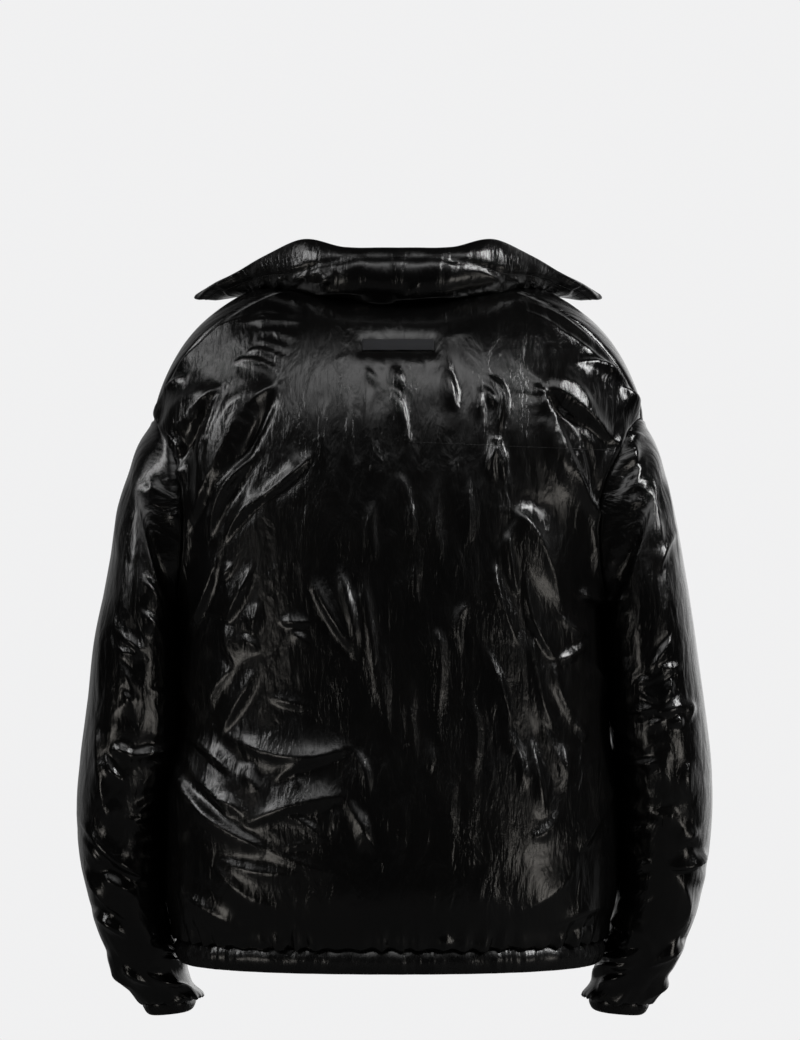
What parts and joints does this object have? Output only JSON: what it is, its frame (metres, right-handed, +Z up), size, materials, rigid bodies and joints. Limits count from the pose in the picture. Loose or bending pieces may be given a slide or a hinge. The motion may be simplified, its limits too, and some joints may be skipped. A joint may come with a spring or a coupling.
{
  "type": "puffer jacket",
  "caption": "Oversized, unquilted puffer jacket in worn shape, with an open padded collar, full sleeves, gathered cuffs and hem, and a front zip with a swinging pull tab.",
  "frame": {"origin": "the middle of the neck's base, between the wearer's shoulders, where the wearer holds the jacket up", "axes": "+X to the wearer's left, +Y out of the jacket's back, +Z up"},
  "size_m": [0.6903, 0.3541, 0.8427],
  "materials": {
    "shell": "glossy coated nylon with fine crinkles",
    "binding": "gathered nylon over elastic",
    "zip": "satin",
    "metal": "satin black",
    "label": "matte weave"
  },
  "bodies": {
    "jacket": {"back": "shell", "front_left": "shell", "front_right": "shell", "sleeve_left": "shell", "sleeve_right": "shell", "collar": "shell", "hem_band": "binding", "cuff_left": "binding", "cuff_right": "binding", "zip_left": "zip", "zip_right": "zip", "zip_slider": "metal", "label": "label"},
    "pull_tab": {"zip_pull": "metal"}
  },
  "joints": [
    {"name": "pull_swing", "type": "hinge", "parent": "jacket", "child": "pull_tab", "pos_m": [0, -0.16007, -0.20005], "axis": [-1, 0, 0], "range_deg": [0, 150]}
  ]
}
